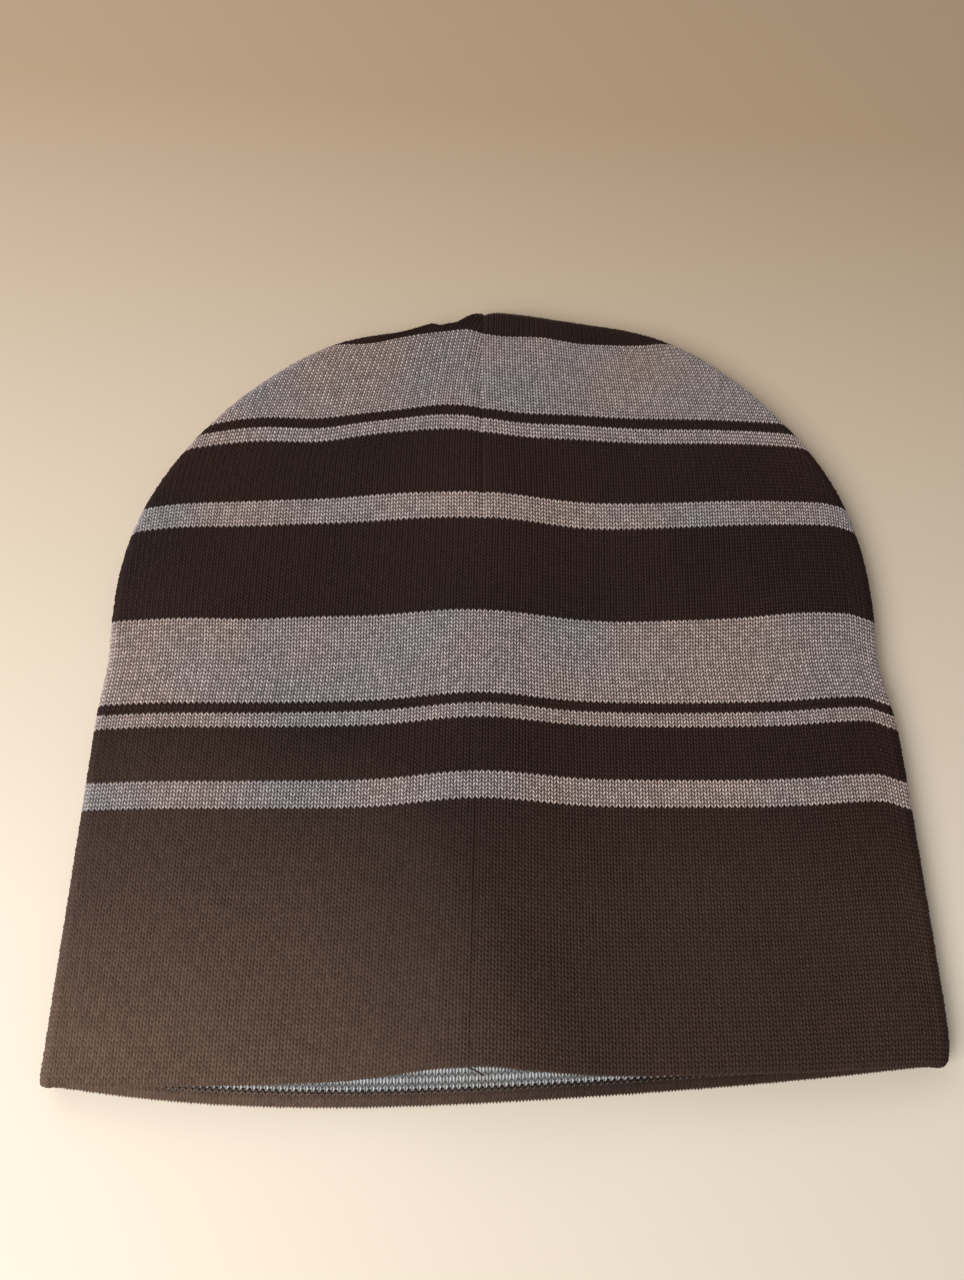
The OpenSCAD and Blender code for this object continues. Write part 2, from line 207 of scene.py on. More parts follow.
def creep(x, h, inset, upper):
    # the rows' pulls fade out towards the fold; the top edge and the sides move on both sides,
    # the sides by a power of the share of the half width
    s = settled
    rows = sum(amount * bell(x - px, wx) * bell(h - ph, wh) for px, wx, ph, wh, amount in s["rows"])
    lip = s["lipLift"] * np.exp(-np.maximum(h, 0) / s["lipFade"]) * bell(x - s["lipPlace"], s["lipWidth"])
    dy = np.where(upper, rows, lip) * smooth(0, s["foldReach"], inset)
    top = smooth(s["topFrom"], tipHeight - s["topBelowTip"], h)
    notch = smooth(*s["notchHeights"], h)
    dy = dy + sum(amount * bell(x - px, wx) * (top if wx > s["notchWidth"] else notch)
                  for px, wx, amount in s["topEdge"])
    out = np.abs(x) / halfWidth(np.clip(h, 0, s["sideTop"]))
    out = np.clip(out, 0, 1) ** s["sidePower"]
    right = (-s["rightIn"] - curveAt(h, *s["rightWaist"]) - curveAt(h, *s["rightCrown"])
             - s["cornerIn"] * np.exp(-np.maximum(h, 0) / s["cornerFade"]))
    left = s["leftIn"] + curveAt(h, *s["leftWaist"]) + curveAt(h, *s["leftCrown"])
    dx = out * np.where(x > 0, right, left)
    pull, place, width = s["seamPull"]
    dx = dx + pull * smooth(s["seamPullFrom"], tipHeight, h) * bell(x - place, width)
    return dx, dy


def hatPlace(flatX, flatH, depth, upper):
    # A place in the flattened fabric, at a depth below its face, brought to its place on the hat.
    # Within a quarter turn of the outline the fabric rolls round the fold: the angle is the
    # distance left over the fold's radius, the inset depth + (radius - depth)(1 - cos angle) and
    # the height off the middle plane (radius - depth) sin angle.
    f = hatForm
    radius = f["edgeRadius"]
    inset = insetAndWay(flatX, flatH)[0]
    angle = np.clip((inset + foldSpare) / radius, 0, math.pi / 2)
    wanted = depth + (radius - depth) * (1 - np.cos(angle))
    x, h = flatX.copy(), flatH.copy()
    rolled = angle < math.pi / 2 - 1e-9
    if rolled.any():
        xr, hr, wr = x[rolled], h[rolled], wanted[rolled]
        # step along the way out until the inset is the wanted one
        for _ in range(6):
            now, stepX, stepY = insetAndWay(xr, hr)
            xr = xr + stepX * (now - wr)
            hr = hr + stepY * (now - wr)
        x[rolled], h[rolled] = xr, hr
    inset = insetAndWay(x, h)[0]
    across = x / halfWidth(np.minimum(h, f["goreFoot"]))
    lift, ridge = ridgeAt(x, h, inset)
    z = (radius - depth) * np.sin(angle)
    bow = ridge * mix(f["mouthBow"], f["crownBow"], h / tipHeight)
    rise = lift * f["loft"] + ridge * mix(f["mouthRidge"], f["crownRidge"], h / tipHeight)
    fade = mouthFadeAt(h)
    y = h + np.where(upper, bow, -fade * mouthDropAt(across)) + f["mouthTilt"] * fade * across
    top = radius + np.where(upper, z + rise, -z)
    creepX, creepY = creep(x, h, inset, upper)
    return np.stack([middleX(h) + x + creepX, y + creepY - middleY, top], axis=-1)


knit = {
    "walesEachSide": 140,
    "seamWale": 66,
    "legRise": 1.0,       # how far a leg climbs from the wale's middle to its edge
    "reliefOut": 0.46,    # how proud a leg stands over the gaps
    "legRound": 2.2,      # the power of a leg's round section
    "seamRelief": 0.75,   # how far the wales that the rear seam joins close over it
    "rowPhases": (0.0, 0.3, 0.72),
    # a leg's relief along a course: where, and how much
    "reliefAt": (0, 0.3, 0.72, 1),
    "reliefShare": (0, 1, 0.92, 0),
    "thickness": 1.2,
    "unevenness": 0.22,   # how much legs differ in how proud they stand
    "rowSlide": 2.6,      # how far the crown's rows slip down along the outline
    "slideReach": 6,
    "slideHeights": (118, 160),
    "leanStart": 7,       # the crown's wales start to lean over this height
    "leftLean": 0.0016,
    "leftLeanOut": 0.00002,
    "rightLean": 6e-5,
    "rightLeanAt": 83,
    "tableGap": 0.01,     # the pressed legs' height over the table
}


def flatPlaces(wale, height):
    # Where wale number and height lie in the flattened fabric: evenly spaced across the body,
    # drifting with the rear seam, and in the crown leaning towards the seam by the square of the
    # height over the gore's foot; clipped at the outline and at the seam.
    f = hatForm
    count = knit["walesEachSide"]
    upper = wale <= count
    along = np.where(upper, wale - count / 2, 1.5 * count - wale)
    bodyH = np.minimum(height, f["shoulderHeight"])
    half = halfWidth(bodyH) + foldSpare
    x = along * half / (count / 2)
    share = 1 - (x / half) ** 2
    seamAlong = knit["seamWale"] - count / 2
    drift = seamX(np.minimum(height, f["goreFoot"])) - seamAlong * half / (count / 2)
    x = x + np.where(upper, drift * share, 0)
    over = np.maximum(0, height - f["goreFoot"])
    over = over - knit["leanStart"] * (1 - np.exp(-over / knit["leanStart"]))
    left = upper & (wale < knit["seamWale"])
    lean = np.where(left, knit["leftLean"] + knit["leftLeanOut"] * np.abs(x), 0)
    lean = np.where(x > 0, -knit["rightLean"] * x * np.sqrt(np.abs(x) / knit["rightLeanAt"]), lean)
    x = x + over ** 2 * lean
    seam = seamX(height)
    crown = height > f["goreFoot"]
    x = np.where(crown & left, np.minimum(x, seam), x)
    right = upper & (wale >= knit["seamWale"])
    x = np.where(crown & right, np.maximum(x, seam), x)
    # the row's own end on the outline, a quarter turn further out in the flat
    h = np.minimum(height, tipHeight + foldSpare - 1e-6)
    up = np.clip((h - f["shoulderHeight"]) / (f["archHeight"] + foldSpare), 0, 1)
    reach = (f["shoulderWidth"] / 2 + foldSpare) * np.sqrt(1 - up ** 2) - drawnIn(h)
    reach = np.where(height > f["shoulderHeight"], np.maximum(reach, 0), half)
    x = np.clip(x, -reach, reach)
    # near the outline the crown's rows slide down along it
    inset, wayX, wayY = insetAndWay(x, h)
    slide = knit["rowSlide"] * np.exp(-np.maximum(inset + foldSpare, 0) / knit["slideReach"])
    slide = slide * smooth(*knit["slideHeights"], h) * np.abs(wayX)
    x = x + np.where(x < 0, -1, 1) * slide * wayY
    h = h - slide * np.abs(wayX)
    return x, h, upper


def legRelief(wale, share):
    # a leg is proud between the wale's middle and its edge, and low where it meets the next
    inWale = np.abs(np.mod(wale, 1) - 0.5) * 2
    across = 1 - np.abs(2 * inWale - 1) ** knit["legRound"]
    # the two wales that the rear seam joins close over it
    across = np.where(np.abs(wale - knit["seamWale"]) < 0.01, knit["seamRelief"], across)
    return across * share


def uneven(wale, course):
    # a number from -1 to 1 for each leg, from the fraction of a large sine of its place
    place = np.floor(wale * 2) * 12.9898 + np.floor(course) * 78.233
    value = np.sin(place) * 43758.5453
    return 2 * (value - np.floor(value)) - 1


crease = {
    "bodyDepth": 0.12,
    "crownDepth": 0.42,
    "bodyWidth": 0.9,
    "crownWidth": 2.3,
    "below": 12,          # it starts to deepen this far below the gore's foot
    "above": 18,
    "outlineReach": 1.4,  # the crown's relief fades out over these distances
    "seamReach": 0.9,
    "edgeDrop": 0.12,
}


def seamCrease(x, h, upper):
    # a groove along the rear seam as a bell across it, wider and deeper in the crown
    gap = np.abs(x - seamX(h))
    foot = hatForm["goreFoot"]
    inCrown = smooth(foot - crease["below"], foot + crease["above"], h)
    depth = mix(crease["bodyDepth"], crease["crownDepth"], inCrown)
    width = mix(crease["bodyWidth"], crease["crownWidth"], inCrown)
    return np.where(upper, depth * bell(gap, width), 0)


def undulation(x, h):
    # low waves of the relaxed upper side, a few sines of unlike lengths
    return (
        0.30 * np.sin(x / 17.0 + 0.6 * np.sin(h / 31.0))
        + 0.26 * np.sin(h / 13.0 + x / 41.0 + 1.3)
        + 0.20 * np.sin(x / 9.0 - h / 23.0 + 2.1)
        + 0.12 * np.sin(x / 5.2 + h / 11.0)
    )


def surfacePoints(wale, along, zig, section, share, outward):
    # The face of the knit. The section turns the distance along it into depth and height; the
    # zigzag of a course and the relief of its legs fade out where a gore is cut at the outline or
    # at the seam; and hatPlace puts the place on the hat.
    flatX, flatH, upper = flatPlaces(wale, section(along)[1])
    inset = insetAndWay(flatX, flatH)[0]
    crown = flatH > hatForm["goreFoot"]
    toSeam = np.abs(flatX - np.where(upper, seamX(flatH), 0))
    cut = smooth(0.0, crease["outlineReach"], inset + foldSpare) * smooth(0.0, crease["seamReach"], toSeam)
    edge = np.where(crown, cut, 1.0)
    plain = section(along)[1]
    depth, height, outD, outH = section(along + zig * edge)
    highest = tipHeight + foldSpare - 1e-6
    height = np.minimum(flatH + height - np.minimum(plain, highest), highest)
    lift = outward * legRelief(wale, share) * edge
    if outward > 0:
        lift = lift - seamCrease(flatX, flatH, upper) * (outD < 0) - crease["edgeDrop"] * (1 - edge)
    points = hatPlace(flatX, height + lift * outH, depth + lift * outD, upper)
    wave = undulation(flatX, flatH) * smooth(0, settled["foldReach"], inset)
    points[..., 2] += np.where(upper, wave, 0)
    # the legs that lie on the table are pressed flat by it
    points[..., 2] = np.maximum(points[..., 2], knit["tableGap"])
    return points


weldSteps = 2e4       # steps to the millimetre; points that round to the same step are one


def solidMesh(name, points, faces, uvKnit, uvBake, material, softGroups=99):
    # Welds the points that coincide, drops the faces that they collapse, and makes the mesh.
    # faces is a list of arrays, one row of corners for each face; the two UV lists match it, and
    # the first softGroups arrays of faces are shaded smooth.
    keys = np.round(points * weldSteps).astype(np.int64)
    order = np.lexsort((keys[:, 2], keys[:, 1], keys[:, 0]))
    sortedKeys = keys[order]
    fresh = np.ones(len(points), bool)
    fresh[1:] = (sortedKeys[1:] != sortedKeys[:-1]).any(axis=1)
    group = np.cumsum(fresh) - 1
    index = np.empty(len(points), np.int64)
    index[order] = group
    welded = points[order][fresh]
    loops, starts, knitUv, bakeUv, soft = [], [], [], [], []
    offset = 0
    for number, (corners, uvA, uvB) in enumerate(zip(faces, uvKnit, uvBake)):
        mapped = index[corners]
        keep = mapped != np.roll(mapped, -1, axis=1)
        count = keep.sum(axis=1)
        good = count >= 3
        if corners.shape[1] == 4:
            good &= (mapped[:, 0] != mapped[:, 2]) & (mapped[:, 1] != mapped[:, 3])
        keep &= good[:, None]
        count = keep.sum(axis=1)[good]
        loops.append(mapped[keep])
        knitUv.append(uvA[keep])
        bakeUv.append(uvB[keep])
        if len(count):
            starts.append(offset + np.concatenate([[0], np.cumsum(count)[:-1]]))
        soft.append(np.full(len(count), number < softGroups))
        offset += int(count.sum())
    loops = np.concatenate(loops)
    starts = np.concatenate(starts).astype(np.int32)
    used, loops = np.unique(loops, return_inverse=True)
    welded = welded[used]
    mesh = bpy.data.meshes.new(name)
    mesh.vertices.add(len(welded))
    mesh.vertices.foreach_set("co", (welded * 0.001).astype(np.float32).ravel())
    mesh.loops.add(len(loops))
    mesh.loops.foreach_set("vertex_index", loops.astype(np.int32))
    mesh.polygons.add(len(starts))
    mesh.polygons.foreach_set("loop_start", starts)
    mesh.polygons.foreach_set("use_smooth", np.concatenate(soft))
    mesh.update(calc_edges=True)
    for layer, values in (("OFBake", bakeUv), ("stitches", knitUv)):
        mesh.uv_layers.new(name=layer)
        flat = np.concatenate(values).astype(np.float32).ravel()
        mesh.uv_layers[layer].data.foreach_set("uv", flat)
    mesh.validate()
    piece = bpy.data.objects.new(name, mesh)
    bpy.context.scene.collection.objects.link(piece)
    mesh.materials.append(material)
    return piece


def gridFaces(rows, columns, first=0, closed=True):
    # quads of a grid, whose columns may close round on themselves
    cells = columns if closed else columns - 1
    r, c = np.meshgrid(np.arange(rows - 1), np.arange(cells), indexing="ij")
    a = first + r * columns + c
    b = first + r * columns + (c + 1) % columns
    return np.stack([a, b, b + columns, a + columns], axis=-1).reshape(-1, 4), r.ravel(), c.ravel()


foldWales = 5         # this many wales past a fold still have fine columns


def columnsPerWale(wale, fine, plain):
    # fine over the upper side and just round the folds, plain under the hat
    side = knit["walesEachSide"]
    away = np.minimum(wale - side, 2 * side - 1 - wale)
    return np.where((wale < side) | (away < foldWales), fine, plain)


bakeLayout = {
    "wide": 0.96,
    "face": 0.9,
    "backFrom": 0.915,
    "back": 0.05,
    "wallFrom": 0.97,
    "sideFrom": 0.965,
    "wallStep": 0.015,
    "wall": 0.012,
}


def knitSheet(name, section, start, end, courses, material, fine=6, plain=3, outward=1.0,
              span=None, phases=None, firstCourse=0):
    # A band of jersey as a closed sheet: a face of stitches, a plain back a thickness behind it,
    # and walls of one face for each wale or course round its rim. It goes right round the hat,
    # or over the span of wales given. The stitches map counts wales and courses; the OFBake map
    # lays face, back and walls side by side in one square.
    total = 2 * knit["walesEachSide"]
    closed = span is None
    first, last = (0, total) if closed else span
    waleNumbers = np.arange(first, last)
    per = columnsPerWale(waleNumbers, fine, plain)
    wales = np.repeat(waleNumbers, per) + np.concatenate([np.arange(k) / k for k in per])
    waleStart = np.concatenate([[0], np.cumsum(per)])
    if not closed:
        wales = np.append(wales, last)
    c = len(wales)
    phases = np.array(phases or knit["rowPhases"])
    relief = np.interp(phases, knit["reliefAt"], knit["reliefShare"])
    rowCourse = np.append((np.arange(courses)[:, None] + phases[None, :]).ravel(), courses)
    rowRelief = np.append(np.tile(relief, courses), 0.0)
    rowAlong = start + (end - start) * rowCourse / courses
    n = len(rowCourse)
    zig = knit["legRise"] * (np.abs(2 * np.mod(wales, 1) - 1) - 0.5)
    jitter = knit["unevenness"] * uneven(wales[None, :], rowCourse[:, None] + firstCourse)
    face = surfacePoints(np.broadcast_to(wales, (n, c)), np.broadcast_to(rowAlong[:, None], (n, c)),
                         zig[None, :], section, rowRelief[:, None] * (1 + jitter),
                         outward * knit["reliefOut"])
    # the back: one column for each wale and one row for each course
    c2 = last - first + (0 if closed else 1)
    backWales = first + np.arange(c2, dtype=float)
    backAlong = np.broadcast_to((start + (end - start) * np.arange(courses + 1) / courses)[:, None],
                                (courses + 1, c2))

    def backSection(s):
        d, h, outD, outH = section(s)
        t = knit["thickness"]
        return d - t * outD, h - t * outH, outD, outH
    back = surfacePoints(np.broadcast_to(backWales, backAlong.shape), backAlong, knit["legRise"] * 0.5,
                         backSection, np.zeros(backAlong.shape), 0.0)
    points = np.concatenate([face.reshape(-1, 3), back.reshape(-1, 3)])
    base = n * c
    width = last - first
    b = bakeLayout
    # faces of the front
    quads, r, k = gridFaces(n, c, 0, closed)
    waleEnds = np.append(wales, last) if closed else wales
    uvU = np.stack([waleEnds[k], waleEnds[k + 1], waleEnds[k + 1], waleEnds[k]], axis=1)
    uvV = np.stack([rowCourse[r], rowCourse[r], rowCourse[r + 1], rowCourse[r + 1]], axis=1)
    faces = [quads]
    knitUv = [np.stack([uvU, uvV + firstCourse], axis=-1)]
    bakeUv = [np.stack([(uvU - first) / width * b["wide"], b["face"] * uvV / courses], axis=-1)]
    # faces of the back, turned the other way
    quads, r, k = gridFaces(courses + 1, c2, base, closed)
    uvU = np.stack([k, k + 1, k + 1, k], axis=1)[:, ::-1].astype(float)
    uvV = np.stack([r, r, r + 1, r + 1], axis=1)[:, ::-1].astype(float)
    faces.append(quads[:, ::-1])
    knitUv.append(np.stack([uvU + first, uvV + firstCourse], axis=-1))
    bakeUv.append(np.stack([uvU / width * b["wide"], b["backFrom"] + b["back"] * uvV / courses], axis=-1))
    # the walls at the two ends, one face a wale
    for atEnd in (0, 1):
        frontRow = (n - 1) * c if atEnd else 0
        backRow = base + (courses * c2 if atEnd else 0)
        for count in np.unique(per):
            w = np.flatnonzero(per == count)
            front = waleStart[w][:, None] + np.arange(count + 1)[None, :]
            front = frontRow + (front % c if closed else front)
            behind = backRow + np.stack([(w + 1) % c2, w], axis=1)
            wall = np.concatenate([front, behind], axis=1)
            ends = np.concatenate([w[:, None] + np.arange(count + 1)[None, :] / count,
                                   np.stack([w + 1, w], axis=1)], axis=1)
            v = np.concatenate([np.zeros((len(w), count + 1)), np.ones((len(w), 2))], axis=1)
            uvWall = np.stack([ends + first, firstCourse + courses * atEnd + 0.0 * v], axis=-1)
            bakeV = b["wallFrom"] + b["wallStep"] * atEnd + b["wall"] * v
            bakeWall = np.stack([ends / width * b["wide"], bakeV], axis=-1)
            turn = slice(None) if atEnd else slice(None, None, -1)
            faces.append(wall[:, turn])
            knitUv.append(uvWall[:, turn])
            bakeUv.append(bakeWall[:, turn])
    # and at the two sides of a part band, one face a course
    if not closed:
        rows = len(phases)
        for atEnd in (0, 1):
            j = np.arange(courses)
            up = j[:, None] * rows + np.arange(rows + 1)[None, :]
            front = up * c + (c - 1 if atEnd else 0)
            behind = base + np.stack([j + 1, j], axis=1) * c2 + (c2 - 1 if atEnd else 0)
            wall = np.concatenate([front, behind], axis=1)
            v = np.concatenate([rowCourse[up], np.stack([j + 1, j], axis=1)], axis=1)
            u = np.concatenate([np.zeros((courses, rows + 1)), np.ones((courses, 2))], axis=1)
            uvWall = np.stack([0.0 * u + (last if atEnd else first), v + firstCourse], axis=-1)
            bakeU = b["sideFrom"] + b["wallStep"] * atEnd + b["wall"] * u
            bakeWall = np.stack([bakeU, b["face"] * v / courses], axis=-1)
            turn = slice(None, None, -1) if atEnd else slice(None)
            faces.append(wall[:, turn])
            knitUv.append(uvWall[:, turn])
            bakeUv.append(bakeWall[:, turn])
    if outward < 0:
        faces = [f[:, ::-1] for f in faces]
        knitUv = [f[:, ::-1] for f in knitUv]
        bakeUv = [f[:, ::-1] for f in bakeUv]
    piece = solidMesh(name, points, faces, knitUv, bakeUv, material, softGroups=2)
    triangles = len(piece.data.loops) - 2 * len(piece.data.polygons)
    print("  ", name, triangles, "triangles")
    return piece


def linear(red, green, blue):
    # a screen colour of 0 to 255 turned into light
    values = [v / 255 for v in (red, green, blue)]
    return tuple(v / 12.92 if v <= 0.04045 else ((v + 0.055) / 1.055) ** 2.4 for v in values) + (1.0,)


class Nodes:
    # short ways to add and join the nodes of one material
    def __init__(self, name):
        self.material = bpy.data.materials.new(name)
        self.material.use_nodes = True
        self.tree = self.material.node_tree
        self.shader = self.tree.nodes["Principled BSDF"]

    def add(self, kind, **settings):
        node = self.tree.nodes.new(kind)
        for key, value in settings.items():
            setattr(node, key, value)
        return node

    def join(self, output, node, socket):
        self.tree.links.new(output, node.inputs[socket])

    def feed(self, node, socket, value):
        if isinstance(value, bpy.types.NodeSocket):
            self.tree.links.new(value, node.inputs[socket])
        else:
            node.inputs[socket].default_value = value

    def maths(self, operation, a, b=0.0):
        node = self.add("ShaderNodeMath", operation=operation)
        self.feed(node, 0, a)
        self.feed(node, 1, b)
        return node.outputs[0]

    def mixed(self, factor, a, b):
        node = self.add("ShaderNodeMix", data_type="RGBA")
        self.feed(node, "Factor", factor)
        self.feed(node, "A", a)
        self.feed(node, "B", b)
        return node.outputs["Result"]

    def noise(self, vector, scale, detail, rough):
        node = self.add("ShaderNodeTexNoise")
        self.join(vector, node, "Vector")
        node.inputs["Scale"].default_value = scale
        node.inputs["Detail"].default_value = detail
        node.inputs["Roughness"].default_value = rough
        return node.outputs["Fac"]

    def ramp(self, factor, low, high, toLow=0.0, toHigh=1.0):
        node = self.add("ShaderNodeMapRange", clamp=True)
        self.feed(node, "Value", factor)
        node.inputs["From Min"].default_value = low
        node.inputs["From Max"].default_value = high
        node.inputs["To Min"].default_value = toLow
        node.inputs["To Max"].default_value = toHigh
        return node.outputs["Result"]


# the grain that all the yarns share; scales are in stitches for the fibres and in 1/m elsewhere
yarnGrain = {
    "fibreStretch": (9.0, 1.6, 1.0),
    "fibreScale": 1.6,
    "fibreFrom": (0.42, 0.7),
    "heatherScale": 900.0,
    "heatherFrom": (0.45, 0.75),
    "patchScale": 26.0,
    "patchFrom": (0.35, 0.65),
    "gapAlongLater": 0.12,
    # the reach, noise patch and heights of the dark hem's painted sheen
    "paintedSheenReach": (0.142, 0.055),
    "paintedSheenPatch": (0.1, 0.9, 0.85, 1.15),
    "hemPaintedSheenFrom": (-0.03, -0.065),
    "fibreBump": 0.5,
    "gapBump": 0.6,
    "bumpDistance": 0.0002,
}


def yarnMaterial(name, look):
    # Jersey of spun yarn: stitch coordinates give each leg painted shade in the gap along its edges, noise
    # stretched along the leg gives its fibres, and slow noise over the hat gives the heather.
    g = yarnGrain
    n = Nodes(name)
    uv = n.add("ShaderNodeUVMap", uv_map="stitches").outputs["UV"]
    place = n.add("ShaderNodeTexCoord").outputs["Object"]
    stitch = n.add("ShaderNodeSeparateXYZ")
    n.join(uv, stitch, "Vector")
    u, v = stitch.outputs["X"], stitch.outputs["Y"]
    # 1 at the edges of a leg and 0 along its middle, across it and along it
    inWale = n.maths("FRACT", u)
    fromMiddle = n.maths("ABSOLUTE", n.maths("SUBTRACT", n.maths("MULTIPLY", inWale, 2.0), 1.0))
    legAcross = n.maths("ABSOLUTE", n.maths("SUBTRACT", n.maths("MULTIPLY", fromMiddle, 2.0), 1.0))
    phase = n.maths("FRACT", v)
    legAlong = n.maths("ABSOLUTE", n.maths("SUBTRACT", n.maths("MULTIPLY", phase, 2.0), 1.0))
    gapAcross = n.ramp(legAcross, look["gapStart"], 1.0)
    gapAlong = n.ramp(legAlong, look["gapStart"] + g["gapAlongLater"], 1.0)
    gap = n.maths("MAXIMUM", gapAcross, gapAlong)
    # one shade for each leg
    cell = n.add("ShaderNodeCombineXYZ")
    n.join(n.maths("FLOOR", n.maths("MULTIPLY", u, 2.0)), cell, "X")
    n.join(n.maths("FLOOR", v), cell, "Y")
    shade = n.add("ShaderNodeTexWhiteNoise", noise_dimensions="2D")
    n.join(cell.outputs["Vector"], shade, "Vector")
    # fibres along the leg
    fibreMap = n.add("ShaderNodeMapping")
    fibreMap.inputs["Scale"].default_value = g["fibreStretch"]
    n.join(uv, fibreMap, "Vector")
    fibre = n.noise(fibreMap.outputs["Vector"], g["fibreScale"], 3.0, 0.6)
    heather = n.noise(place, g["heatherScale"], 2.0, 0.6)
    patch = n.noise(place, g["patchScale"], 2.0, 0.5)
    pale, deepToneAndGapShade = linear(*look["pale"]), linear(*look["deepToneAndGapShade"])
    colour = n.mixed(n.ramp(patch, *g["patchFrom"]), linear(*look["cool"]), linear(*look["warm"]))
    colour = n.mixed(n.maths("MULTIPLY", n.ramp(heather, *g["heatherFrom"]), look["heather"]), colour, pale)
    colour = n.mixed(n.maths("MULTIPLY", n.ramp(fibre, *g["fibreFrom"]), look["fibre"]), colour, pale)
    if look["fade"]:
        # painted sheen: the dark yarn is painted paler about a place below the left of the mouth, where the
        # table lamp's glare falls, and a little over the lower hem
        away = n.add("ShaderNodeVectorMath", operation="DISTANCE")
        n.join(place, away, 0)
        away.inputs[1].default_value = look["paintedSheenCentre"]
        paintedSheen = n.maths("MULTIPLY", n.ramp(away.outputs["Value"], *g["paintedSheenReach"]), look["fade"])
        where = n.add("ShaderNodeSeparateXYZ")
        n.join(place, where, "Vector")
        lowerHemSheen = n.ramp(where.outputs["Y"], *g["hemPaintedSheenFrom"], 0.0, look["hemPaintedSheen"])
        paintedSheen = n.maths("MAXIMUM", paintedSheen, lowerHemSheen)
        paintedSheen = n.maths("MULTIPLY", paintedSheen, n.ramp(patch, *g["paintedSheenPatch"]))
        colour = n.mixed(paintedSheen, colour, linear(*look["paintedSheenColour"]))
    dim = n.maths("MULTIPLY", shade.outputs["Value"], look["legShade"])
    colour = n.mixed(dim, colour, deepToneAndGapShade)
    # painted shade: the gaps between the legs are darkened towards the deep colour, standing in for the
    # shade that falls in them
    colour = n.mixed(n.maths("MULTIPLY", gap, look["gapPaintedShade"]), colour, deepToneAndGapShade)
    n.join(colour, n.shader, "Base Color")
    n.shader.inputs["Roughness"].default_value = look["roughness"]
    n.shader.inputs["Specular IOR Level"].default_value = look["specular"]
    n.shader.inputs["Sheen Weight"].default_value = look["sheen"]
    n.shader.inputs["Sheen Roughness"].default_value = look["sheenRoughness"]
    n.shader.inputs["Sheen Tint"].default_value = linear(*look["sheenTint"])
    relief = n.maths("SUBTRACT", n.maths("MULTIPLY", fibre, g["fibreBump"]),
                     n.maths("MULTIPLY", gap, g["gapBump"]))
    bump = n.add("ShaderNodeBump")
    bump.inputs["Strength"].default_value = look["bump"]
    bump.inputs["Distance"].default_value = g["bumpDistance"]
    n.join(relief, bump, "Height")
    n.join(bump.outputs["Normal"], n.shader, "Normal")
    return n.material


# Each yarn's colours, how strongly its heather, fibres, leg shades and the painted shade in its gaps show,
# and its shine.
greyYarnLook = {
    "cool": (192, 186, 196), "warm": (218, 190, 182), "pale": (252, 244, 240), "deepToneAndGapShade": (22, 15, 15),
    "heather": 0.5, "fibre": 0.55, "legShade": 0.42, "gapStart": 0.1, "gapPaintedShade": 1.0,
    "roughness": 0.92, "specular": 0.15, "sheen": 0.04, "sheenRoughness": 0.5, "sheenTint": (255, 250, 245),
    "bump": 0.8, "fade": 0.0,
}
darkYarnLook = {
    "cool": (30, 16, 15), "warm": (38, 19, 14), "pale": (60, 42, 36), "deepToneAndGapShade": (10, 5, 5),
    "heather": 0.3, "fibre": 0.45, "legShade": 0.3, "gapStart": 0.5, "gapPaintedShade": 0.4,
    "roughness": 0.5, "specular": 0.13, "sheen": 0.0, "sheenRoughness": 0.6, "sheenTint": (255, 230, 210),
    # all but the bump on the next line paint the lamp's sheen on the hem: its colour, its strength about a
    # centre and its strength low on the hem
    "bump": 0.5, "paintedSheenColour": (122, 99, 85), "fade": 0.68, "hemPaintedSheen": 0.12, "paintedSheenCentre": (-0.09, -0.155, 0.0),
}
liningYarnLook = {
    "cool": (202, 210, 218), "warm": (214, 214, 212), "pale": (252, 254, 255), "deepToneAndGapShade": (24, 24, 28),
    "heather": 0.45, "fibre": 0.55, "legShade": 0.3, "gapStart": 0.16, "gapPaintedShade": 1.0,
    "roughness": 0.92, "specular": 0.15, "sheen": 0.04, "sheenRoughness": 0.5, "sheenTint": (250, 250, 255),
    "bump": 0.8, "fade": 0.0,
}
greyYarn = yarnMaterial("greyYarn", greyYarnLook)
darkYarn = yarnMaterial("darkYarn", darkYarnLook)
liningYarn = yarnMaterial("liningYarn", liningYarnLook)
print("yarn materials made")


def outerSection(along):
    # the outer ply lies at depth 0, and its way out is against the depth
    zero = np.zeros_like(along)
    return zero, along, zero - 1, zero


# the hem's turn inwards
foldRadius = 1.35
lipHeight = 3.2
foldLength = math.pi * foldRadius


def hemSection(along):
    # From the lip inside, down, half a turn round the fold and up the outer face: the length
    # along is nought where the outer face starts, minus the half round's length at its other end.
    turn = np.clip(-along / foldRadius, 0, math.pi)
    above = np.maximum(along, 0)
    inside = np.maximum(-along - foldLength, 0)
    depth = foldRadius - foldRadius * np.cos(turn)
    height = foldRadius - foldRadius * np.sin(turn) + above + inside
    return depth, height, -np.cos(turn), -np.sin(turn)


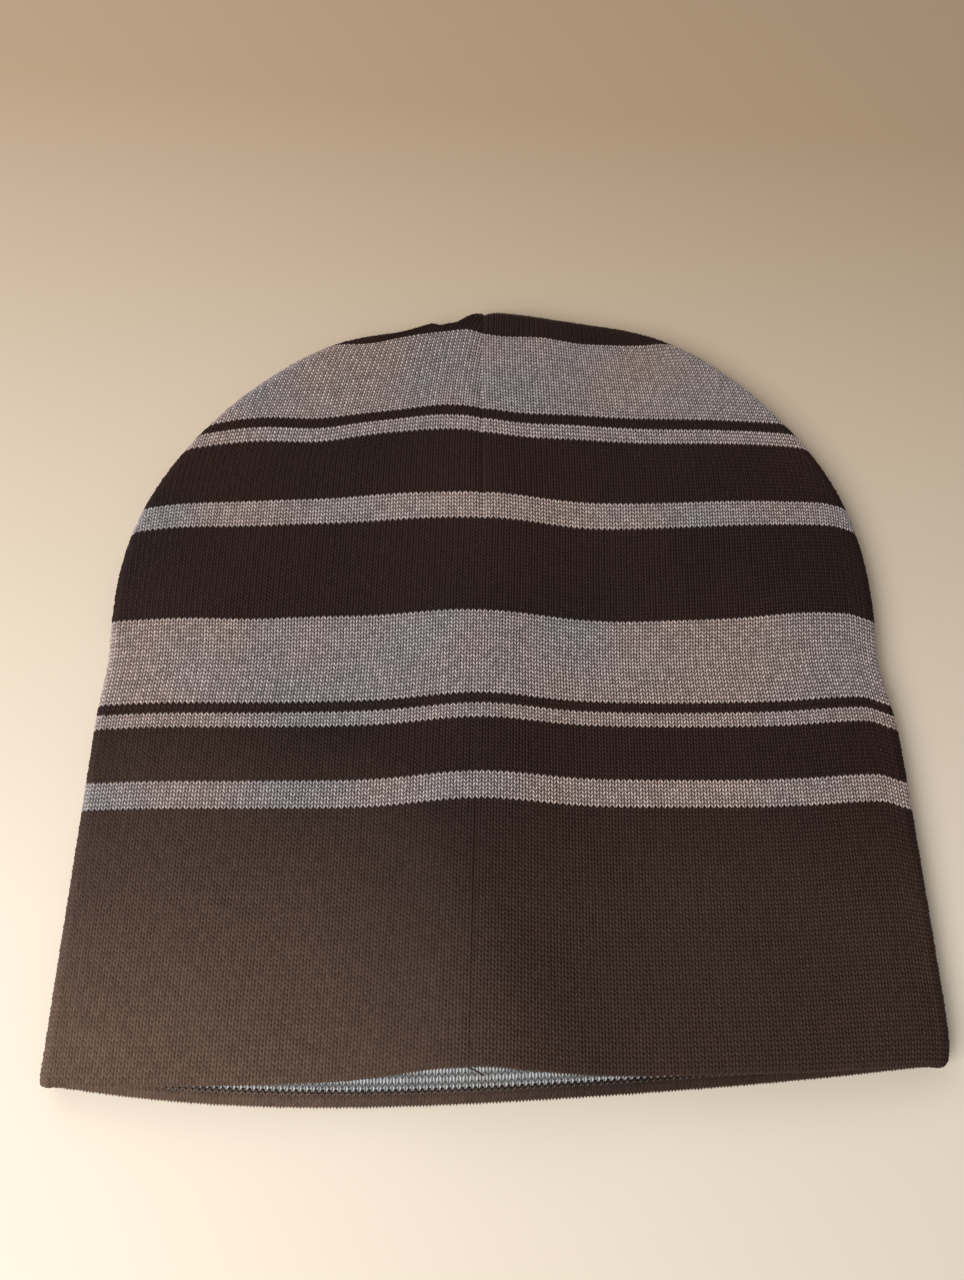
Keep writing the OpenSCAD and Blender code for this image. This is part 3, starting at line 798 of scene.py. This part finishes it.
stripes = [
    # name, CAD node, slot, lower edge, upper edge, courses
    ("hemBand", "hem_band", "dark_yarn", 0.0, 63.5, 62),
    ("lowerGreyStripe", "lower_grey_stripe", "grey_yarn", 63.5, 70.7, 7),
    ("lowerDarkStripe", "lower_dark_stripe", "dark_yarn", 70.7, 84.8, 13),
    ("lowerFineGreyStripe", "lower_fine_grey_stripe", "grey_yarn", 84.8, 88.8, 4),
    ("lowerFineDarkStripe", "lower_fine_dark_stripe", "dark_yarn", 88.8, 91.4, 2),
    ("waistGreyStripe", "waist_grey_stripe", "grey_yarn", 91.4, 115.5, 22),
    ("shoulderDarkStripe", "shoulder_dark_stripe", "dark_yarn", 115.5, 143.0, 25),
    ("upperGreyStripe", "upper_grey_stripe", "grey_yarn", 143.0, 150.8, 7),
    ("upperDarkStripe", "upper_dark_stripe", "dark_yarn", 150.8, 169.7, 17),
    ("upperFineGreyStripe", "upper_fine_grey_stripe", "grey_yarn", 169.7, 174.6, 4),
    ("upperFineDarkStripe", "upper_fine_dark_stripe", "dark_yarn", 174.6, 177.8, 3),
    ("crownGreyStripe", "crown_grey_stripe", "grey_yarn", 177.8, 205.5, 25),
    ("crownCap", "crown_cap", "dark_yarn", 205.5, 219.9, 13),
]
yarns = {"dark_yarn": darkYarn, "grey_yarn": greyYarn, "lining_yarn": liningYarn}
side = knit["walesEachSide"]
under = ("Under", (side, 2 * side))
# a long band is made in parts that meet at the rear seam and at the folds
parts = {
    "hemBand": (("Left", (0, knit["seamWale"])), ("Right", (knit["seamWale"], side)), under),
    "shoulderDarkStripe": (("", (0, side)), under),
    "waistGreyStripe": (("", (0, side)), under),
}
courseCount = 0
for name, node, slotName, low, high, courses in stripes:
    # the courses are counted on from band to band, so that no two bands have the same shades
    section, start, end = outerSection, low, high
    if name == "hemBand":
        section, start, end = hemSection, -(foldLength + lipHeight - foldRadius), high - foldRadius
    for ending, span in parts.get(name, (("", None),)):
        phases = (0.0, 0.5) if ending == "Under" else None
        piece = knitSheet(name + ending, section, start, end, courses, yarns[slotName], span=span,
                          plain=4 if name == "hemBand" else 3, phases=phases, firstCourse=courseCount)
        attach(piece, "root")
        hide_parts(node)
    courseCount += courses
print("outer ply made")

lining = {
    "depth": 2.5,
    "mouthDip": 0.5,      # deeper by this at the mouth, fading over the height below
    "mouthFade": 4,
    "relief": -0.7,       # its legs stand inwards
}


def liningSection(along):
    # the lining's seen face is its inner one, whose way out is into the hat
    zero = np.zeros_like(along)
    dip = lining["mouthDip"] * np.exp(-np.maximum(along, 0) / lining["mouthFade"])
    return zero + lining["depth"] + dip, along, zero + 1, zero


# name, CAD node, lower and upper edge, courses, columns in a wale, flat width
liningParts = [
    ("liningMouth", "lining_body", 2.5, 30.0, 16, 4, 437),
    ("liningBody", "lining_body", 30.0, 143.0, 40, 2, 437),
    ("liningCrown", "lining_crown", 143.0, 216.0, 26, 2, 300),
]
for name, node, low, high, courses, fine, wide in liningParts:
    piece = knitSheet(name, liningSection, low, high, courses, liningYarn, fine=fine, plain=fine,
                      outward=lining["relief"])
    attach(piece, "root")
    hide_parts(node)
print("lining made")


def onFace(x, h, depth, upper=True):
    # places on the fabric at a depth, straight from the hat's own surface
    x = np.asarray(x, float)
    h = np.asarray(h, float)
    return hatPlace(x, h, np.zeros_like(x) + depth, np.full(x.shape, upper))


thread = {"sides": 6, "ringsEachStitch": 4, "fewestRings": 8, "swell": 0.22}


def threadAlong(name, path, radius, stitch, material):
    # A thread carried along a path: a ring at each point, its radius swelling once for each
    # stitch length as a cosine, with the ends drawn to a point.
    sides = thread["sides"]
    path = np.asarray(path, float)
    step = np.linalg.norm(np.diff(path, axis=0), axis=1)
    length = np.concatenate([[0], np.cumsum(step)])
    count = max(thread["fewestRings"], int(length[-1] / stitch * thread["ringsEachStitch"]))
    at = np.linspace(0, length[-1], count)
    line = np.stack([np.interp(at, length, path[:, k]) for k in range(3)], axis=1)
    ahead = np.gradient(line, axis=0)
    ahead /= np.linalg.norm(ahead, axis=1, keepdims=True) + 1e-12
    up = np.array([0.0, 0.0, 1.0])
    across = np.cross(ahead, up)
    across /= np.linalg.norm(across, axis=1, keepdims=True) + 1e-9
    lift = np.cross(across, ahead)
    swell = radius * (1 - thread["swell"] + thread["swell"] * np.cos(2 * math.pi * at / stitch))
    swell = swell * np.sqrt(np.clip(np.minimum(at, length[-1] - at) / radius, 0.0, 1.0))
    turn = 2 * math.pi * np.arange(sides) / sides
    ring = (
        line[:, None, :]
        + swell[:, None, None] * (np.cos(turn)[None, :, None] * across[:, None, :]
                                  + np.sin(turn)[None, :, None] * lift[:, None, :])
    )
    points = ring.reshape(-1, 3)
    quads, r, k = gridFaces(count, sides)
    uvs = np.stack([np.stack([k, k + 1, k + 1, k], axis=1) / sides,
                    np.stack([at[r], at[r], at[r + 1], at[r + 1]], axis=1) / stitch], axis=-1)
    bake = np.stack([uvs[..., 0], uvs[..., 1] / (at[-1] / stitch)], axis=-1)
    return solidMesh(name, points, [quads[:, ::-1]], [uvs[:, ::-1]], [bake[:, ::-1]], material)


def seamPiece(name, node, path, radius, stitch):
    # one run of sewing as a thread of its own
    piece = threadAlong(name, path, radius, stitch, darkYarn)
    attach(piece, "root")
    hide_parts(node)


seams = {
    "stitch": 1.4,
    "tailStitch": 0.9,
    "closingStitch": 1.6,
    "bodyRadius": 0.28,
    "radius": 0.3,
    "frontRadius": 0.32,
    "closingRadius": 0.6,
    "tailRadius": 0.24,
    # depths below the outer face
    "body": 0.85,
    "crown": 1.5,
    "front": 0.5,
    "lining": 2.2,
    "side": 0.6,
    "tailRoot": 1.35,
    "closing": 0.9,
    "closingHalf": 6.5,
    "closingCurve": 80,
    "crownTop": 216.0,
}
foot = hatForm["goreFoot"]
bodySteps = np.linspace(3.0, foot - 0.5, 140)
crownSteps = np.linspace(foot + 0.5, seams["crownTop"], 90)
bodyLine = (seamX(bodySteps), bodySteps)
crownLine = (seamX(crownSteps), crownSteps)
frontLine = (0 * crownSteps, crownSteps)
liningLine = (seamX(bodySteps[2:]), bodySteps[2:])
# name, CAD node, line, depth, on the upper side, radius
for name, node, line, depth, upper, radius in (
    ("rearSeam", "rear_seam", bodyLine, seams["body"], True, seams["bodyRadius"]),
    ("crownRearSeam", "crown_rear_seam", crownLine, seams["crown"], True, seams["radius"]),
    ("crownFrontSeam", "crown_front_seam", frontLine, seams["front"], False, seams["frontRadius"]),
    ("liningRearSeam", "lining_rear_seam", liningLine, seams["lining"], True, seams["radius"]),
    ("liningCrownSeams", "lining_crown_seams", crownLine, seams["lining"], True, seams["radius"]),
):
    seamPiece(name, node, onFace(*line, depth, upper), radius, seams["stitch"])


def sideLine(way, depth):
    # along the arch of one side, from the gore's foot to just short of the tip
    f = hatForm
    low = math.asin((f["goreFoot"] - f["shoulderHeight"]) / f["archHeight"])
    angle = np.linspace(low, math.radians(86), 120)
    h = f["shoulderHeight"] + (f["archHeight"] - depth) * np.sin(angle)
    x = way * ((f["shoulderWidth"] / 2 - depth) * np.cos(angle) - drawnIn(h))
    creepX, creepY = creep(x, h, 0 * h, True)
    level = np.full(h.shape, f["edgeRadius"])
    return np.stack([middleX(h) + x + creepX, h + creepY - middleY, level], axis=1)


for name, way in (("crownSideSeamLeft", -1), ("crownSideSeamRight", 1)):
    seamPiece(name, "crown_side_seams", sideLine(way, seams["side"]), seams["radius"], seams["stitch"])

# the closing stitch bows down from the tip as a parabola
across = np.linspace(-seams["closingHalf"], seams["closingHalf"], 40)
tipPlace = np.full(40, tipHeight)
closeX, closeY = creep(across, tipPlace, 0 * tipPlace, True)
closeH = tipHeight - seams["closing"] - middleY - across ** 2 / seams["closingCurve"] + closeY
closeZ = np.full(40, hatForm["edgeRadius"])
closing = np.stack([middleX(tipHeight) + across + closeX, closeH, closeZ], axis=1)
seamPiece("crownClosingStitch", "crown_closing_stitch", closing, seams["closingRadius"],
          seams["closingStitch"])

# the loose tail hangs from the seam's foot into the mouth, in a slight curve
tail = {"across": 3.6, "start": -0.6, "forward": 1.6, "wave": 0.2, "waves": 5, "drop": 3.2, "straight": 0.6}
root = onFace(seamX(0.0), 0.0, seams["tailRoot"])
t = np.linspace(0, 1, 30)
tailY = tail["start"] - tail["forward"] * t + tail["wave"] * np.sin(tail["waves"] * t)
tailZ = -tail["drop"] * (t * tail["straight"] + (1 - tail["straight"]) * t * t)
tailBy = np.stack([tail["across"] * t, tailY, tailZ], axis=1)
seamPiece("threadTail", "thread_tail", root[None, :] + tailBy, seams["tailRadius"], seams["tailStitch"])
print("seams made")

# the width that each band's cloth was cut to: its wales, and in the crown four times the half width
waleWidth = 1.56
for name, node, slotName, low, high, courses in stripes:
    for ending, span in parts.get(name, (("", None),)):
        wide = 2 * side * waleWidth if span is None else (span[1] - span[0]) * waleWidth
        if low > foot - 3:
            wide = 4 * float(halfWidth(np.array((low + min(high, tipHeight)) / 2)))

# the table, with painted light: paler towards the near side and darker to the far side, where less lamp
# light falls; lengths from here on are metres
table = {
    "side": 6.0,
    "near": (215, 206, 192),
    "far": (168, 146, 119),
    "turn": (-0.08, 0.2),     # the painted falloff of light turns from near to far over these places
    "slant": 0.1,
    "roughness": 0.6,
}
mesh = bpy.data.meshes.new("floor")
half = table["side"] / 2
corners = [(-half, -half, 0), (half, -half, 0), (half, half, 0), (-half, half, 0)]
mesh.from_pydata(corners, [], [(0, 1, 2, 3)])
floor = bpy.data.objects.new("floor", mesh)
bpy.context.scene.collection.objects.link(floor)
n = Nodes("paleFloorPaintedLight")
place = n.add("ShaderNodeTexCoord").outputs["Object"]
where = n.add("ShaderNodeSeparateXYZ")
n.join(place, where, "Vector")
# painted light: the floor's colour darkens towards the far side in place of the lamps' falloff
far = n.maths("ADD", where.outputs["Y"], n.maths("MULTIPLY", where.outputs["X"], table["slant"]))
colour = n.mixed(n.ramp(far, *table["turn"]), linear(*table["near"]), linear(*table["far"]))
n.join(colour, n.shader, "Base Color")
n.shader.inputs["Roughness"].default_value = table["roughness"]
mesh.materials.append(n.material)

room = {"colour": (250, 246, 240), "strength": 0.42}
world = bpy.data.worlds.new("softRoom")
bpy.context.scene.world = world
world.use_nodes = True
background = world.node_tree.nodes["Background"]
background.inputs["Color"].default_value = linear(*room["colour"])
background.inputs["Strength"].default_value = room["strength"]

lamps = {
    "tableLamp": {
        "place": (-0.45, -0.34, 0.58), "target": (-0.03, -0.02, 0), "size": (0.5, 0.5),
        "power": 6.7, "tint": (1.0, 0.95, 0.9),
    },
    "windowLamp": {
        "place": (-0.6, 0.7, 0.8), "target": (0, 0, 0), "size": (0.9, 0.6),
        "power": 4.0, "tint": (1.0, 0.97, 0.93),
    },
}
for name, look in lamps.items():
    lamp = bpy.data.lights.new(name, "AREA")
    lamp.shape = "RECTANGLE"
    lamp.size, lamp.size_y = look["size"]
    lamp.energy = look["power"]
    lamp.color = look["tint"]
    holder = bpy.data.objects.new(name, lamp)
    bpy.context.scene.collection.objects.link(holder)
    holder.location = look["place"]
    way = Vector(look["target"]) - Vector(look["place"])
    holder.rotation_euler = way.to_track_quat("-Z", "Y").to_euler()

eye = {
    "sensor": 36.0,
    "lens": 27.196875,
    "across": -0.004,
    "aheadOfMouth": 27.95,    # in millimetres up the hat
    "height": 0.2596,
    "tilt": 18,
}
camera = bpy.data.cameras.new("tableCamera")
camera.sensor_width = eye["sensor"]
camera.lens = eye["lens"]
view = bpy.data.objects.new("tableCamera", camera)
bpy.context.scene.collection.objects.link(view)
view.location = (eye["across"], (eye["aheadOfMouth"] - middleY) / 1000, eye["height"])
view.rotation_euler = (math.radians(eye["tilt"]), 0, 0)
bpy.context.scene.camera = view
bpy.context.scene.view_settings.view_transform = "Standard"
